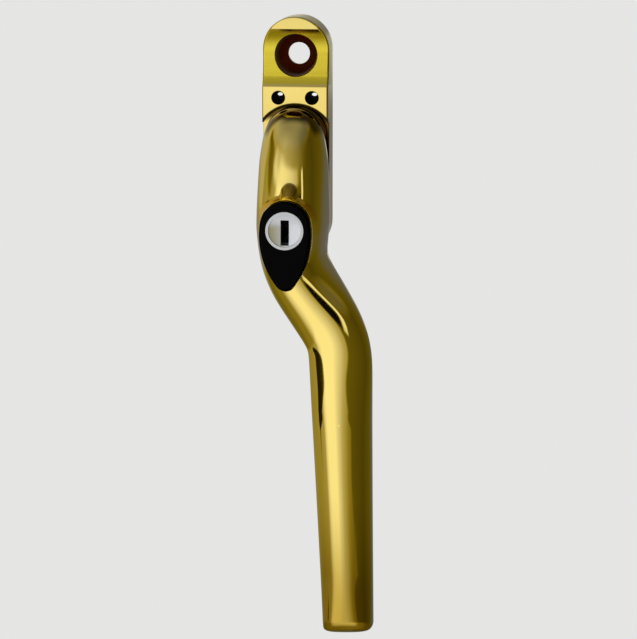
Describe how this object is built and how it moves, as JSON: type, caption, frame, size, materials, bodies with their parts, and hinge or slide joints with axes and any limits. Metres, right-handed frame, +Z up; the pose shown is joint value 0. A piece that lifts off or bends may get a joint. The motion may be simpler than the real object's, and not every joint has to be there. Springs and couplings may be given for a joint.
{
  "type": "espagnolette window handle",
  "caption": "Cranked locking window handle: slim base plate with a scooped screw seat, tapered grip, push button with keyed cylinder, square spindle.",
  "frame": {"origin": "spindle axis on the plane of the base's back face", "axes": "+Z up along the base plate, the front faces -Y, the spindle points to +Y and the crank leans to +X"},
  "size_m": [0.0323, 0.0718, 0.1589],
  "materials": {
    "polished_gold": "mirror polished, lacquered gold plating",
    "black_gloss": "glossy black",
    "lock_chrome": "satin nickel plated",
    "bright_steel": "bright zinc plated",
    "wafer_brass": "plain brass",
    "acetal": "natural white acetal"
  },
  "bodies": {
    "base": {"base_casting": "polished_gold", "bearing_bush": "acetal", "thrust_washer": "acetal", "index_spring_left": "bright_steel", "index_spring_right": "bright_steel"},
    "lever": {"lever_casting": "polished_gold", "spindle": "bright_steel", "spindle_pin": "bright_steel", "index_cam": "bright_steel", "disc_spring": "bright_steel", "retaining_circlip": "bright_steel", "keeper_plate": "bright_steel", "lever_cap_plate": "bright_steel"},
    "button": {"push_button": "black_gloss", "lock_barrel": "lock_chrome", "plunger_carrier": "bright_steel", "lock_plunger": "bright_steel", "button_return_spring": "bright_steel"},
    "plug": {"lock_plug": "lock_chrome", "wafer_1": "wafer_brass", "wafer_2": "wafer_brass", "wafer_3": "wafer_brass", "wafer_4": "wafer_brass", "wafer_5": "wafer_brass", "lock_cam": "bright_steel", "cam_screw": "bright_steel"}
  },
  "joints": [
    {"name": "lever_turn", "type": "hinge", "parent": "base", "child": "lever", "pos_m": [0, 0, 0], "axis": [0, -1, 0], "range_deg": [0, 90], "deforming": ["index_spring_left", "index_spring_right"]},
    {"name": "button_press", "type": "slide", "parent": "lever", "child": "button", "axis": [0, 1, 0], "range_m": [0, 0.0028], "stiffness_N_per_m": 600, "springref_m": -0.004, "deforming": ["button_return_spring"]},
    {"name": "key_turn", "type": "hinge", "parent": "button", "child": "plug", "pos_m": [0, -0.02, -0.0215], "axis": [0, -1, 0], "range_deg": [0, 90]}
  ]
}
